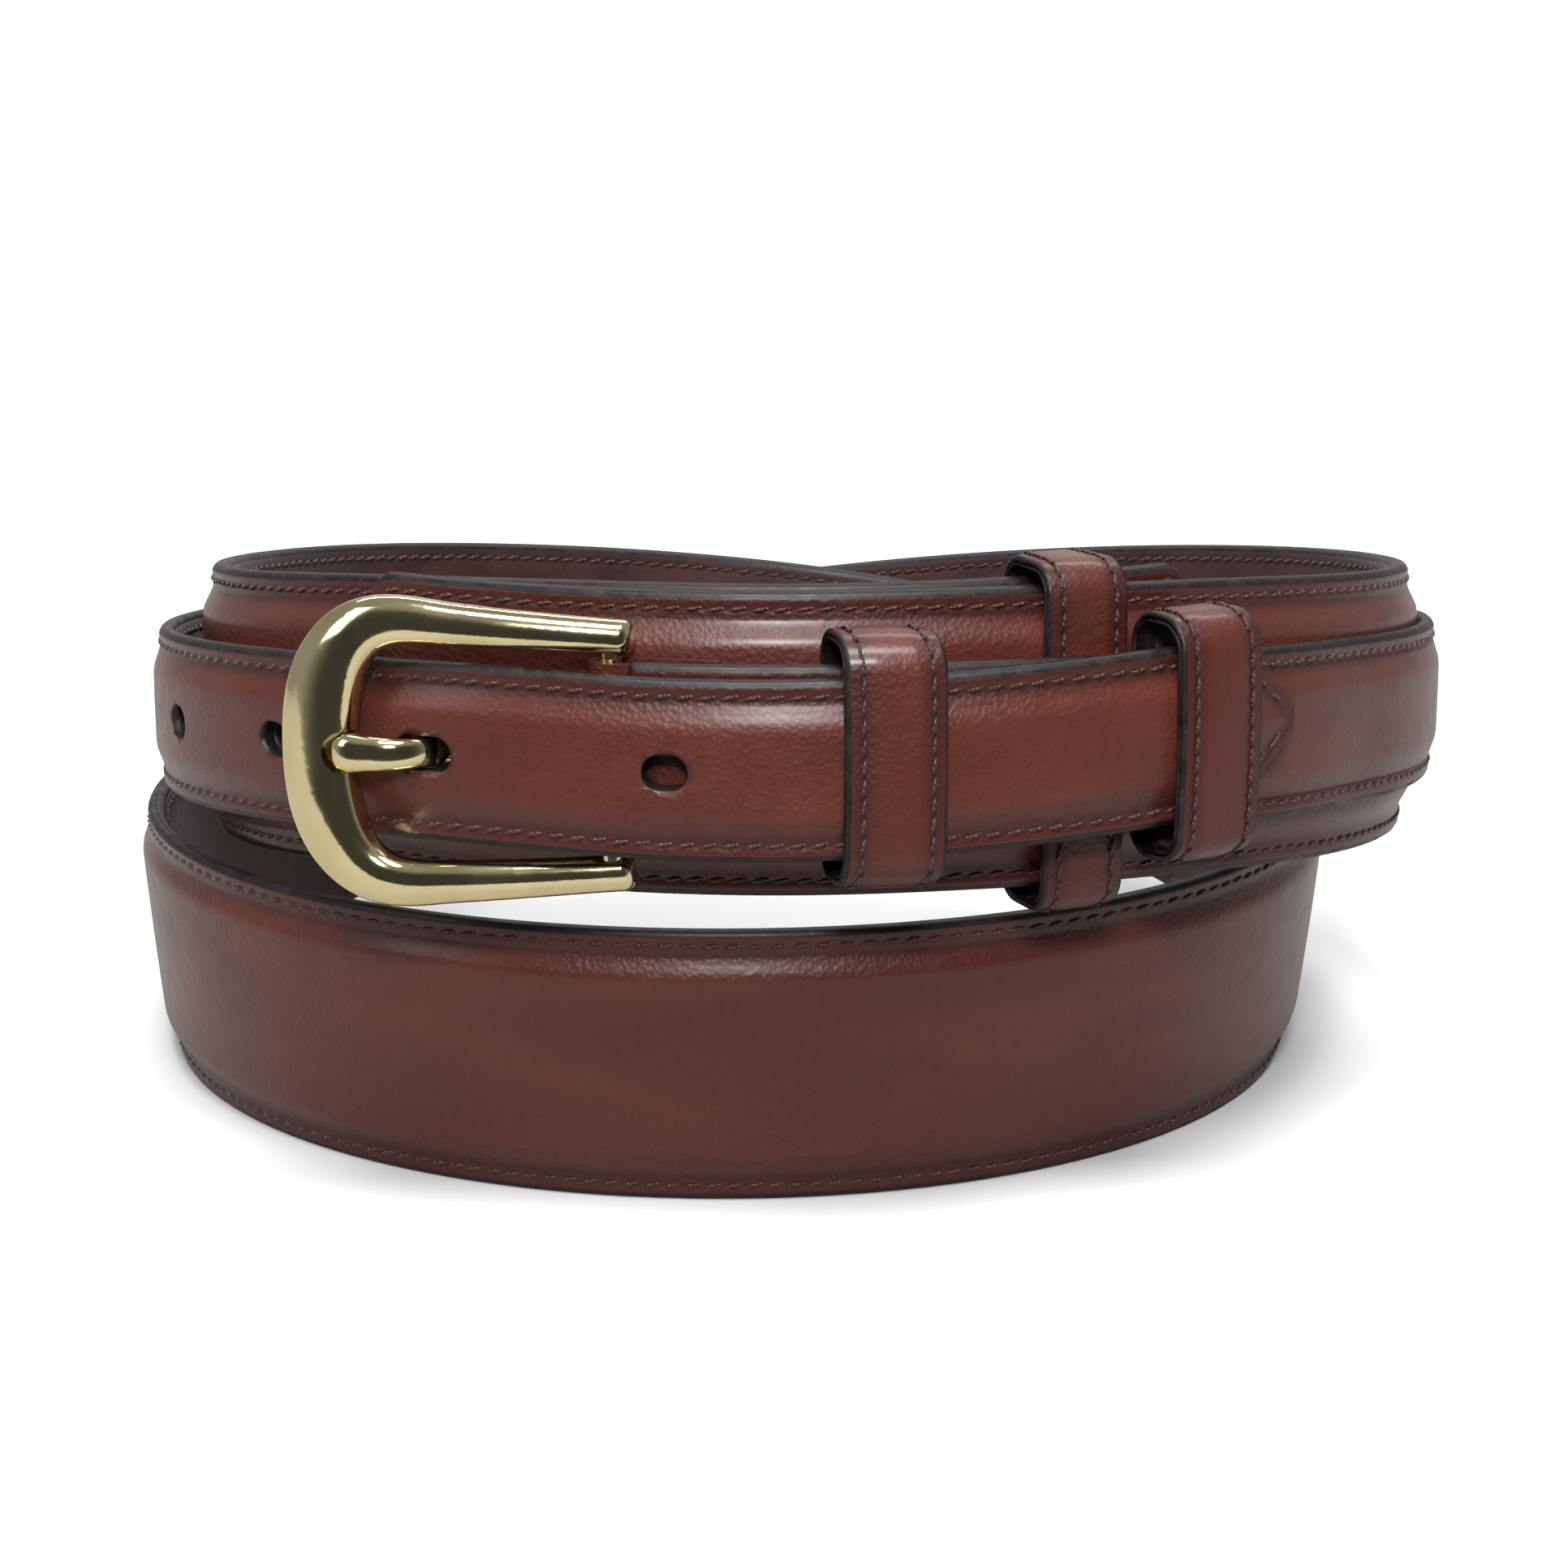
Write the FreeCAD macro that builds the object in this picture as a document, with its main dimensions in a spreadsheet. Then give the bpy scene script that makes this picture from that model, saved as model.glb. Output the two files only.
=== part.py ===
import FreeCAD, Part
import os
import Sketcher
from math import sin, cos, radians, sqrt, pi

# A buckled gentlemen's belt standing on edge, wound as a double coil.
# Z is up, the floor is z = 0, the buckle faces -Y, +X is to the wearer's left.
# Angles run counter-clockwise seen from above, from the front (-Y): 90 is +X, 180 is the back.

Vector = FreeCAD.Vector
os.makedirs("parts", exist_ok=True)
doc = FreeCAD.newDocument("belt")

# ---------------------------------------------------------------- driving sizes
SIZES = {
    # wide strap
    "strap_width": 35.0,
    "strap_edge_half": 1.0,
    "strap_crown": 2.05,
    "lining_back": -1.7,
    "raise_height": 41.0,
    "flat_sink": 0.15,
    "lower_lean": 6.0,
    # billets
    "billet_width": 20.6,
    "billet_edge_half": 0.85,
    "billet_crown": 1.4,
    "billet_back": -1.4,
    # coil radii, to the middle of each strap
    "front_x": -0.89,
    "front_y": 5.47,
    "front_radius": 83.0,
    "inner_gap": 4.6,
    "lower_x": -7.39,
    "lower_y": 11.47,
    "lower_radius": 75.5,
    "back_x": 3.6,
    "back_y": 2.47,
    "back_radius": 76.2,
    "buckle_billet_radius": 89.1,
    "tongue_radius": 92.4,
    # stitching
    "row_inset": 2.0,
    "thread_wide": 0.5,
    "thread_thick": 0.25,
    # buckle
    "bar_radius": 1.3,
    "bar_circle": 88.2,
    "bar_angle": -12.0,
    "bar_half_length": 14.0,
    "frame_tilt": 14.3,
    "frame_centre_z": 58.0,
    "knuckle_radius": 2.3,
    "knuckle_width": 4.4,
    "running_gap": 0.06,
    # keepers
    "keeper_ply": 0.8,
    "keeper_lining": 0.55,
    "keeper_inner": 85.5,
    "keeper_outer": 95.55,
    "keeper_low": 44.2,
    "keeper_high": 73.2,
    "keeper_sweep": 6.7,
    "wide_keeper_inner": 74.6,
    "wide_keeper_outer": 86.85,
    "wide_keeper_low": 37.7,
    "wide_keeper_high": 78.7,
    "wide_keeper_sweep": 6.8,
    "keeper_corner": 4.0,
    "front_keeper_angle": 7.2,
    "wide_keeper_angle": 23.7,
    "rear_keeper_angle": 31.4,
    "keeper_row_angle": 2.3,
    "keeper_thread_sweep": 0.3,
}

sheet = doc.addObject("Spreadsheet::Sheet", "Sheet")
for row, (alias, value) in enumerate(SIZES.items(), start=1):
    sheet.set("A%d" % row, alias)
    sheet.set("B%d" % row, str(value))
    sheet.setAlias("B%d" % row, alias)
doc.recompute()


def size(alias):
    return float(sheet.get(alias))


# ---------------------------------------------------------------- the coil's path
def smooth(value, start, end):
    """0 before start, 1 after end, with level ends."""
    u = min(1.0, max(0.0, (value - start) / (end - start)))
    return u * u * (3.0 - 2.0 * u)


def ramp(value, start, end, warp, soft=0.12):
    """A straight climb from 0 to 1 whose two ends are eased over the share `soft`."""
    u = min(1.0, max(0.0, (value - start) / (end - start))) ** warp
    if u < soft:
        return u * u / (2.0 * soft * (1.0 - soft))
    if u > 1.0 - soft:
        return 1.0 - (1.0 - u) ** 2 / (2.0 * soft * (1.0 - soft))
    return (u - soft / 2.0) / (1.0 - soft)


def on_circle(prefix, radius, angle):
    a = radians(angle)
    return Vector(size(prefix + "_x") + radius * sin(a), size(prefix + "_y") - radius * cos(a), 0)


def mix(first, second, share):
    return first * (1.0 - share) + second * share


FRONT_TO_LOWER = (60.0, 300.0)
LOWER_TO_BACK = (430.0, 580.0)
BACK_TO_FRONT = (610.0, 690.0)
WIDE_START = -34.0
WIDE_END = 757.0


def wide_point(angle):
    """Middle of the wide strap seen from above. One turn outside and low, then one turn inside and up."""
    front = on_circle("front", size("front_radius"), angle)
    lower = on_circle("lower", size("lower_radius"), angle)
    back = on_circle("back", size("back_radius"), angle)
    inner = on_circle("front", size("front_radius") - size("inner_gap"), angle)
    if angle < 360.0:
        return mix(front, lower, smooth(angle, *FRONT_TO_LOWER))
    behind = mix(lower, back, smooth(angle, *LOWER_TO_BACK))
    return mix(behind, inner, smooth(angle, *BACK_TO_FRONT))


def wide_height(angle):
    """Height of the wide strap's lower edge. The low front turn sinks a little, to be trimmed flat."""
    climb = size("raise_height") + size("flat_sink")
    falling = 1.0 - ramp(angle, 5.0, 268.0, 1.15)
    rising = ramp(angle, 425.0, 712.0, 0.9)
    return climb * (falling + rising) - size("flat_sink")


def wide_lean(angle):
    """The low turn splays: its top edge stands further out than its foot."""
    return size("lower_lean") * smooth(angle, 230.0, 330.0) * (1.0 - smooth(angle, 400.0, 500.0))


def outward(path, angle):
    """Unit vector square to the path, away from the middle of the coil."""
    along = path(angle + 0.5) - path(angle - 0.5)
    return Vector(along.y, -along.x, 0).normalize()


def wide_station(angle, a, b):
    """Point `a` out from the strap's middle and `b` up from its lower edge."""
    out = outward(wide_point, angle)
    lean = wide_lean(angle) * b / size("strap_width")
    return wide_point(angle) + out * (a + lean) + Vector(0, 0, wide_height(angle) + b)


def middle_height(angle):
    return wide_height(angle) + size("strap_width") / 2.0


def buckle_billet_point(angle):
    """Loose on its own circle as far as the rear keeper, then laid down on the wide strap."""
    loose = on_circle("front", size("buckle_billet_radius"), angle)
    seat = size("strap_crown") + 0.1 - size("billet_back") + 0.05
    sewn = wide_point(angle) + outward(wide_point, angle) * seat
    return mix(loose, sewn, smooth(angle, 37.0, 56.0))


def buckle_billet_station(angle, a, b):
    height = middle_height(angle) + 0.1 * (1.0 - smooth(angle, 0.0, 60.0))
    return buckle_billet_point(angle) + outward(buckle_billet_point, angle) * a + Vector(0, 0, height + b)


TONGUE_START = -125.0


def tongue_point(angle):
    """Laid on the inner turn of the wide strap at the left, rising over the bar at the front."""
    seat = size("strap_crown") + 0.1 - size("billet_back") + 0.05
    inner = angle + 720.0
    sewn = wide_point(inner) + outward(wide_point, inner) * seat
    loose = on_circle("front", size("tongue_radius"), angle)
    return mix(sewn, loose, smooth(angle, -100.0, -14.0))


def tongue_station(angle, a, b):
    """The tongue dips past the bar, then runs slightly uphill across the wide strap to its tip."""
    dip = 0.9 * smooth(angle, -24.0, -6.0)
    height = middle_height(angle + 720.0) - dip + 1.8 * smooth(angle, -2.0, 40.0)
    return tongue_point(angle) + outward(tongue_point, angle) * a + Vector(0, 0, height + b)


# ---------------------------------------------------------------- builders
def publish(label, shape):
    item = doc.addObject("Part::Feature", label)
    item.Label = label
    item.Shape = shape
    item.Placement = FreeCAD.Placement()
    return item


def steps(start, end, pitch=12.0):
    count = max(4, int(round((end - start) / pitch)))
    return [start + (end - start) * i / count for i in range(count + 1)]


def band(station, start, end, section, pitch=12.0):
    """Solid whose many-cornered section (a, b) is carried along a strap's path."""
    angles = steps(start, end, pitch)
    rails = []
    for a, b in section:
        curve = Part.BSplineCurve()
        curve.interpolate(Points=[station(angle, a, b) for angle in angles], Parameters=angles)
        rails.append(curve.toShape())
    faces = []
    for i, rail in enumerate(rails):
        faces.append(Part.makeRuledSurface(rail, rails[(i + 1) % len(rails)]))
    for angle in (start, end):
        corners = [station(angle, a, b) for a, b in section]
        faces.append(Part.Face(Part.makePolygon(corners + corners[:1])))
    shell = Part.Shell(faces)
    shell.sewShape()
    solid = Part.Solid(shell)
    if solid.Volume < 0:
        solid.reverse()
    return solid


def box_section(a_low, a_high, b_low, b_high):
    return [(a_low, b_low), (a_high, b_low), (a_high, b_high), (a_low, b_high)]


def padded_face(low, high, back, ply_face, crown, shoulder):
    """Outer leather: flat sewn margins and a raised middle with bevelled shoulders, hollow behind."""
    rise = crown - ply_face
    mid = (low + high) / 2.0
    bevel = ply_face + 0.72 * rise
    outer = [(ply_face, low), (ply_face + 0.05, low + shoulder), (bevel, low + shoulder + 2.6), (crown, mid),
             (bevel, high - shoulder - 2.6), (ply_face + 0.05, high - shoulder), (ply_face, high)]
    lift = 0.6 * rise
    inner = [(back, high), (back, high - shoulder - 0.4), (back + lift, high - shoulder - 4.0),
             (back + lift, low + shoulder + 4.0), (back, low + shoulder + 0.4), (back, low)]
    return outer + inner


def padding(low, high, back, lift, shoulder):
    """Filler strip under the raised middle."""
    return [(back, low + shoulder + 1.4), (back + lift, low + shoulder + 4.6),
            (back + lift, high - shoulder - 4.6), (back, high - shoulder - 1.4)]


def thread_sections(low, high, face_a, back_a):
    """Needle thread on the face and locking thread on the lining, one row near each edge."""
    inset = size("row_inset")
    half = size("thread_wide") / 2.0
    thick = size("thread_thick")
    sections = []
    for row in (low + inset, high - inset):
        sections.append(box_section(face_a, face_a + thick, row - half, row + half))
        sections.append(box_section(back_a - thick, back_a, row - half, row + half))
    return sections


def tangent_block(station, angle, toward):
    """A station's point with the directions along the strap, up and outward there."""
    base = station(angle, 0, 0)
    out = station(angle, 1, 0) - base
    up = Vector(0, 0, 1)
    along = up.cross(out) * toward
    side = out.cross(along)
    return base, along, side, out


def pointed_cutter(station, angle, toward, half_width, length):
    """Two wedges that leave a strap end with a blunt point."""
    base, along, side, out = tangent_block(station, angle, toward)
    wedges = []
    for sign in (1, -1):
        corners = [base - along * length + side * (sign * (half_width + 0.01)),
                   base + side * (sign * 1.2),
                   base + along * 12.0 + side * (sign * 1.2),
                   base + along * 12.0 + side * (sign * (half_width + 8.0)),
                   base - along * length + side * (sign * (half_width + 8.0))]
        face = Part.Face(Part.makePolygon([p - out * 6.0 for p in corners] + [corners[0] - out * 6.0]))
        wedges.append(face.extrude(out * 12.0))
    return wedges


def oval_cutter(station, angle, length, height):
    """Punch for an oval strap hole."""
    base, along, side, out = tangent_block(station, angle, 1)
    half = (length - height) / 2.0
    foot = base - out * 4.0
    ends = [Part.makeCylinder(height / 2.0, 8.0, foot + along * (sign * half), out) for sign in (1, -1)]
    corners = [foot + along * (sx * half) + side * (sy * height / 2.0)
               for sx, sy in ((1, 1), (-1, 1), (-1, -1), (1, -1))]
    slab = Part.Face(Part.makePolygon(corners + corners[:1])).extrude(out * 8.0)
    return ends[0].fuse([ends[1], slab])


# ---------------------------------------------------------------- wide strap
WIDTH = size("strap_width")
LINING_FRONT = -0.55
FACE_BACK = -0.45
floor_trim = Part.makeBox(300, 300, 20, Vector(-150, -150, -20))


def wide_band(section):
    return band(wide_station, WIDE_START, WIDE_END, section).cut(floor_trim)


face_section = padded_face(0.0, WIDTH, FACE_BACK, size("strap_edge_half"), size("strap_crown"), 3.4)
publish("wide_face", wide_band(face_section))
publish("wide_lining", wide_band(box_section(size("lining_back"), LINING_FRONT, 0.0, WIDTH)))
lift = 0.6 * (size("strap_crown") - size("strap_edge_half"))
publish("wide_filler", wide_band(padding(0.0, WIDTH, FACE_BACK - 0.05, lift, 3.4)))
rows = thread_sections(0.0, WIDTH, size("strap_edge_half") + 0.1, size("lining_back") - 0.05)
threads = [band(wide_station, WIDE_START + 1.2, WIDE_END - 1.2, row) for row in rows]
publish("wide_thread", Part.Compound(threads))

# ---------------------------------------------------------------- buckle billet
HALF = size("billet_width") / 2.0
BILLET_FACE_BACK = -0.3
BILLET_LINING_FRONT = -0.4
BUCKLE_BILLET_END = 95.0
BAR_ANGLE = size("bar_angle")
POINT_LENGTH = 11.0
bar_centre = on_circle("front", size("bar_circle"), BAR_ANGLE)
bar_out = on_circle("front", size("bar_circle") + 1.0, BAR_ANGLE) - bar_centre
bar_right = Vector(0, 0, 1).cross(bar_out)
fold_outer = 2.5
fold_inner = size("bar_radius") + size("running_gap")
fold_height = middle_height(BAR_ANGLE + 720.0) + 0.2


def fold_ring():
    """Turned end of the billet where it wraps the bar."""
    low = Vector(bar_centre.x, bar_centre.y, fold_height - HALF)
    ring = Part.makeCylinder(fold_outer, 2 * HALF, low)
    ring = ring.cut(Part.makeCylinder(fold_inner, 2 * HALF + 2, low - Vector(0, 0, 1)))
    return ring


def prong_slot():
    """Opening in the fold that lets the prong's knuckle reach the bar."""
    half = size("knuckle_width") / 2.0 + 0.5
    corner = Vector(-3.6, -5.0, size("frame_centre_z") - half)
    slot = Part.makeBox(7.6, 10.0, 2 * half, corner)
    slot.Placement = FreeCAD.Placement(Vector(bar_centre.x, bar_centre.y, 0),
                                       FreeCAD.Rotation(Vector(0, 0, 1), BAR_ANGLE)).multiply(slot.Placement)
    return slot


def buckle_band(section, start, end):
    return band(buckle_billet_station, start, end, section, 6.0)


FLAT_START = -10.4
TAIL_END = -4.2
turn_point = pointed_cutter(buckle_billet_station, BUCKLE_BILLET_END, 1, HALF, POINT_LENGTH)
billet_section = padded_face(-HALF, HALF, BILLET_FACE_BACK, size("billet_edge_half"),
                             size("billet_crown"), 3.0)
face = buckle_band(billet_section, FLAT_START, BUCKLE_BILLET_END).cut(turn_point)
tail_low = -(size("buckle_billet_radius") - size("bar_circle")) - fold_outer
tail = buckle_band(box_section(tail_low, tail_low + 1.1, -HALF, HALF), FLAT_START, TAIL_END)
bridge = buckle_band(box_section(-0.2, 1.0, -HALF, HALF), -12.0, FLAT_START + 0.8)
bridge_back = buckle_band(box_section(tail_low + 0.05, tail_low + 1.1, -HALF, HALF), -12.0, FLAT_START + 0.8)
bar_bore = Part.makeCylinder(fold_inner, 40, Vector(bar_centre.x, bar_centre.y, fold_height - 20))
folded = face.fuse([fold_ring(), bridge, bridge_back, tail]).cut([bar_bore, prong_slot()])
publish("buckle_billet_face", folded.removeSplitter())
LINING_START = -7.6
lining = buckle_band(box_section(size("billet_back"), BILLET_LINING_FRONT, -HALF, HALF), LINING_START,
                     BUCKLE_BILLET_END)
publish("buckle_billet_lining", lining.cut(turn_point))
billet_lift = 0.6 * (size("billet_crown") - size("billet_edge_half"))
publish("buckle_billet_filler",
        buckle_band(padding(-HALF, HALF, BILLET_FACE_BACK - 0.05, billet_lift, 3.0), LINING_START + 0.5,
                    BUCKLE_BILLET_END - 9.0))
rows = thread_sections(-HALF, HALF, size("billet_edge_half") + 0.09, size("billet_back") - 0.03)
publish("buckle_billet_thread",
        Part.Compound([buckle_band(row, LINING_START + 0.5, BUCKLE_BILLET_END - 9.0) for row in rows]))

# ---------------------------------------------------------------- tongue billet
TONGUE_END = 40.2
HOLE_PITCH = 15.8
HOLE_FIRST = 8.3
HOLE_LENGTH = 5.2
HOLE_HEIGHT = 4.1
PRONG_HOLE_ANGLE = -25.0
PRONG_HOLE_LENGTH = 7.6
hole_angles = [HOLE_FIRST - HOLE_PITCH * i for i in (0, 1, 3, 4)]
tongue_cutters = pointed_cutter(tongue_station, TONGUE_END, 1, HALF, POINT_LENGTH)
tongue_cutters += pointed_cutter(tongue_station, TONGUE_START, -1, HALF, POINT_LENGTH)
tongue_cutters += [oval_cutter(tongue_station, angle, HOLE_LENGTH, HOLE_HEIGHT) for angle in hole_angles]
tongue_cutters.append(oval_cutter(tongue_station, PRONG_HOLE_ANGLE, PRONG_HOLE_LENGTH, HOLE_HEIGHT))


def tongue_band(section, start, end):
    return band(tongue_station, start, end, section, 6.0)


publish("tongue_billet_face", tongue_band(billet_section, TONGUE_START, TONGUE_END).cut(tongue_cutters))
tongue_lining = box_section(size("billet_back"), BILLET_LINING_FRONT, -HALF, HALF)
publish("tongue_billet_lining", tongue_band(tongue_lining, TONGUE_START, TONGUE_END).cut(tongue_cutters))
tongue_padding = padding(-HALF, HALF, BILLET_FACE_BACK - 0.05, billet_lift, 3.0)
publish("tongue_billet_filler",
        tongue_band(tongue_padding, TONGUE_START + 9.0, TONGUE_END - 9.0).cut(tongue_cutters))
publish("tongue_billet_thread",
        Part.Compound([tongue_band(row, TONGUE_START + 9.0, TONGUE_END - 8.0) for row in rows]))

# ---------------------------------------------------------------- buckle
FRAME_Z = size("frame_centre_z")
frame_place = FreeCAD.Placement(Vector(bar_centre.x, bar_centre.y, FRAME_Z),
                                FreeCAD.Rotation(Vector(0, 0, 1), 180.0 - size("frame_tilt")))
# Local axes of the buckle: +X from the bar to the closed end, +Y out of the face.


def closed_curve(points):
    curve = Part.BSplineCurve()
    curve.interpolate(Points=points, PeriodicFlag=True)
    return Part.Wire(curve.toShape())


ARM_END = -1.3
BEND_START = 22.0
CLOSED_END = 33.2


def bow(x):
    """The horseshoe is gently arched, so that its closed end stands clear over the tongue."""
    return 3.8 * sin(pi * x / 50.0)


def frame_middle(share):
    """Middle line of the horseshoe, share 0 at the upper arm's end and 1 at the lower arm's end."""
    fold = abs(2.0 * share - 1.0)
    sign = 1.0 if share < 0.5 else -1.0
    straight = 0.39
    if fold > 1.0 - straight:
        along = (1.0 - fold) / straight
        x = ARM_END + (BEND_START - ARM_END) * along
        return Vector(x, bow(x), sign * (13.4 + 1.6 * along))
    turn = fold / (1.0 - straight) * pi / 2.0
    x = BEND_START + (CLOSED_END - BEND_START) * cos(turn) ** 0.78
    return Vector(x, bow(x), sign * 15.0 * sin(turn) ** 0.88)


def frame_section(share, beyond=0.0, scale=1.0):
    """Rounded section, thicker and wider at the closed end, its crest nearer the inner edge.
    Beyond an arm's end it shrinks, to round that end off."""
    fold = abs(2.0 * share - 1.0)
    here = frame_middle(share)
    ahead = frame_middle(min(1.0, share + 0.01)) - frame_middle(max(0.0, share - 0.01))
    ahead.normalize()
    here = here + ahead * beyond * (1.0 if share > 0.5 else -1.0)
    side = Vector(-ahead.z, 0, ahead.x).normalize()
    closed = 1.0 - smooth(fold, 0.1, 0.72)
    half = (2.05 + 0.6 * (1.0 - smooth(fold, 0.45, 1.0)) + 1.75 * closed) * scale
    crest = (1.95 + 1.15 * closed) * scale
    back = 1.5 * scale
    points = []
    for i in range(16):
        turn = 2.0 * pi * i / 16
        w = cos(turn)
        d = sin(turn)
        across = half * (1.0 if w > 0 else -1.0) * abs(w) ** (1.0 if d > 0 else 0.8)
        ridge = (0.08 + 0.16 * closed) * half * max(0.0, d) ** 2
        depth = crest * abs(d) ** 0.9 if d > 0 else -back * abs(d) ** 0.55
        points.append(here + side * (across - ridge) + Vector(0, depth, 0))
    return closed_curve(points)


SECTIONS = 36
horseshoe = Part.makeLoft([frame_section(i / SECTIONS) for i in range(SECTIONS + 1)], True, False)
END_ROUNDING = [(0.0, 1.0), (0.5, 0.94), (0.9, 0.79), (1.15, 0.55)]
arm_ends = []
for share in (0.0, 1.0):
    arm_ends.append(Part.makeLoft([frame_section(share, *row) for row in END_ROUNDING], True, False))
frame_shape = horseshoe.fuse(arm_ends)
bar_hole = Part.makeCylinder(size("bar_radius") - 0.01, 2 * size("bar_half_length"),
                             Vector(0, 0, -size("bar_half_length")))
# The rest for the prong's tip: a shallow notch with a half-round end, in the inner edge.
REST_FLOOR = 3.9
REST_HALF = 2.45
REST_ROUND = 29.4
rest_sides = Part.makeBox(REST_ROUND - 26.2, 8.0, 2 * REST_HALF, Vector(26.2, REST_FLOOR, -REST_HALF))
rest_end = Part.makeCylinder(REST_HALF, 8.0, Vector(REST_ROUND, REST_FLOOR, 0), Vector(0, 1, 0))
frame_shape = frame_shape.cut([bar_hole, rest_sides.fuse(rest_end)])
frame = publish("buckle_frame", frame_shape)
frame.Placement = frame_place

bar = doc.addObject("PartDesign::Body", "buckle_bar")
bar.Label = "buckle_bar"


def origin_plane(body, role):
    return [item for item in body.Origin.OriginFeatures if item.Role == role][0]


bar_sketch = bar.newObject("Sketcher::SketchObject", "bar_sketch")
bar_sketch.AttachmentSupport = [(origin_plane(bar, "XY_Plane"), "")]
bar_sketch.MapMode = "FlatFace"
bar_sketch.addGeometry(Part.Circle(Vector(0, 0, 0), Vector(0, 0, 1), size("bar_radius")))
bar_sketch.addConstraint(Sketcher.Constraint("Coincident", 0, 3, -1, 1))
bar_radius_row = bar_sketch.addConstraint(Sketcher.Constraint("Radius", 0, size("bar_radius")))
bar_sketch.setExpression("Constraints[%d]" % bar_radius_row, "Sheet.bar_radius")
doc.recompute()
bar_pad = bar.newObject("PartDesign::Pad", "bar_pad")
bar_pad.Profile = bar_sketch
bar_pad.SideType = "Symmetric"
bar_pad.setExpression("Length", "2 * Sheet.bar_half_length")
bar.Placement = frame_place


# The prong: a ring on the bar and a shank that dips under the tongue and rises through its hole.
def prong_section(x, y, angle, half_width, half_thick):
    a = radians(angle)
    points = []
    for i in range(12):
        turn = 2.0 * pi * i / 12
        depth = half_thick * sin(turn)
        width = half_width * (1.0 if cos(turn) > 0 else -1.0) * abs(cos(turn)) ** 0.8
        points.append(Vector(x - depth * sin(a), y + depth * cos(a), width))
    return closed_curve(points)


PRONG_STATIONS = [
    # along, out, slope, half width, half thickness
    (1.2, -0.2, 0.0, 1.9, 1.0),
    (6.0, -0.4, 0.0, 1.75, 1.0),
    (11.0, -0.5, 0.0, 1.7, 1.0),
    (15.6, -0.6, 2.0, 1.7, 1.0),
    (18.2, -0.1, 34.0, 1.7, 0.95),
    (20.2, 2.1, 54.0, 1.7, 0.95),
    (21.9, 4.2, 42.0, 1.7, 0.95),
    (24.2, 5.4, 14.0, 1.85, 1.1),
    (27.6, 5.6, 0.0, 2.15, 1.3),
    (29.7, 5.5, -3.0, 2.1, 1.25),
    (30.7, 5.4, -4.0, 1.5, 0.85),
    (31.0, 5.35, -4.0, 0.7, 0.4),
]
shank = Part.makeLoft([prong_section(*row) for row in PRONG_STATIONS], True, False)
knuckle_half = size("knuckle_width") / 2.0
knuckle = Part.makeCylinder(size("knuckle_radius"), 2 * knuckle_half, Vector(0, 0, -knuckle_half))
prong_bore = Part.makeCylinder(size("bar_radius") + size("running_gap"), 10, Vector(0, 0, -5))
prong = publish("prong", knuckle.fuse(shank).cut(prong_bore).removeSplitter())
prong.Placement = frame_place


# ---------------------------------------------------------------- keepers
def rounded_outline(sketch, low_x, high_x, low_z, high_z, corner):
    """Rounded rectangle; each argument is a formula over the sheet, for the sketch to follow."""
    values = {}
    for name, formula in (("x0", low_x), ("x1", high_x), ("z0", low_z), ("z1", high_z), ("r", corner)):
        values[name] = formula_value(formula)
    x0, x1, z0, z1, r = (values[name] for name in ("x0", "x1", "z0", "z1", "r"))
    first = sketch.GeometryCount
    line = Part.LineSegment
    normal = Vector(0, 0, 1)
    centres = [(x1 - r, z0 + r, -pi / 2), (x1 - r, z1 - r, 0.0),
               (x0 + r, z1 - r, pi / 2), (x0 + r, z0 + r, pi)]
    ends = [((x0 + r, z0), (x1 - r, z0)), ((x1, z0 + r), (x1, z1 - r)),
            ((x1 - r, z1), (x0 + r, z1)), ((x0, z1 - r), (x0, z0 + r))]
    for (start, end), (cx, cz, turn) in zip(ends, centres):
        sketch.addGeometry(line(Vector(start[0], start[1], 0), Vector(end[0], end[1], 0)))
        circle = Part.Circle(Vector(cx, cz, 0), normal, r)
        sketch.addGeometry(Part.ArcOfCircle(circle, turn, turn + pi / 2))
    rules = Sketcher.Constraint
    for i in range(8):
        sketch.addConstraint(rules("Tangent", first + i, 2, first + (i + 1) % 8, 1))
    for i in (0, 4):
        sketch.addConstraint(rules("Horizontal", first + i))
    for i in (2, 6):
        sketch.addConstraint(rules("Vertical", first + i))
    for i in (3, 5, 7):
        sketch.addConstraint(rules("Equal", first + 1, first + i))
    driven = [(rules("Radius", first + 1, r), corner),
              (rules("DistanceY", -1, 1, first, 1, z0), low_z),
              (rules("DistanceY", -1, 1, first + 4, 1, z1), high_z),
              (rules("DistanceX", -1, 1, first + 2, 1, x1), high_x),
              (rules("DistanceX", -1, 1, first + 6, 1, x0), low_x)]
    for rule, formula in driven:
        row = sketch.addConstraint(rule)
        sketch.setExpression("Constraints[%d]" % row, formula)


def formula_value(formula):
    """Value of a sum of sheet aliases and numbers, for the sketch's first layout."""
    total = 0.0
    sign = 1.0
    for word in formula.replace("Sheet.", "").split():
        if word in "+-":
            sign = -1.0 if word == "-" else 1.0
        else:
            total += sign * (size(word) if word in SIZES else float(word))
    return total


def keeper_place(kind):
    angle = size(kind + "_keeper_angle")
    return FreeCAD.Placement(Vector(size("front_x"), size("front_y"), 0),
                             FreeCAD.Rotation(Vector(0, 0, 1), angle - 90.0))


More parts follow.
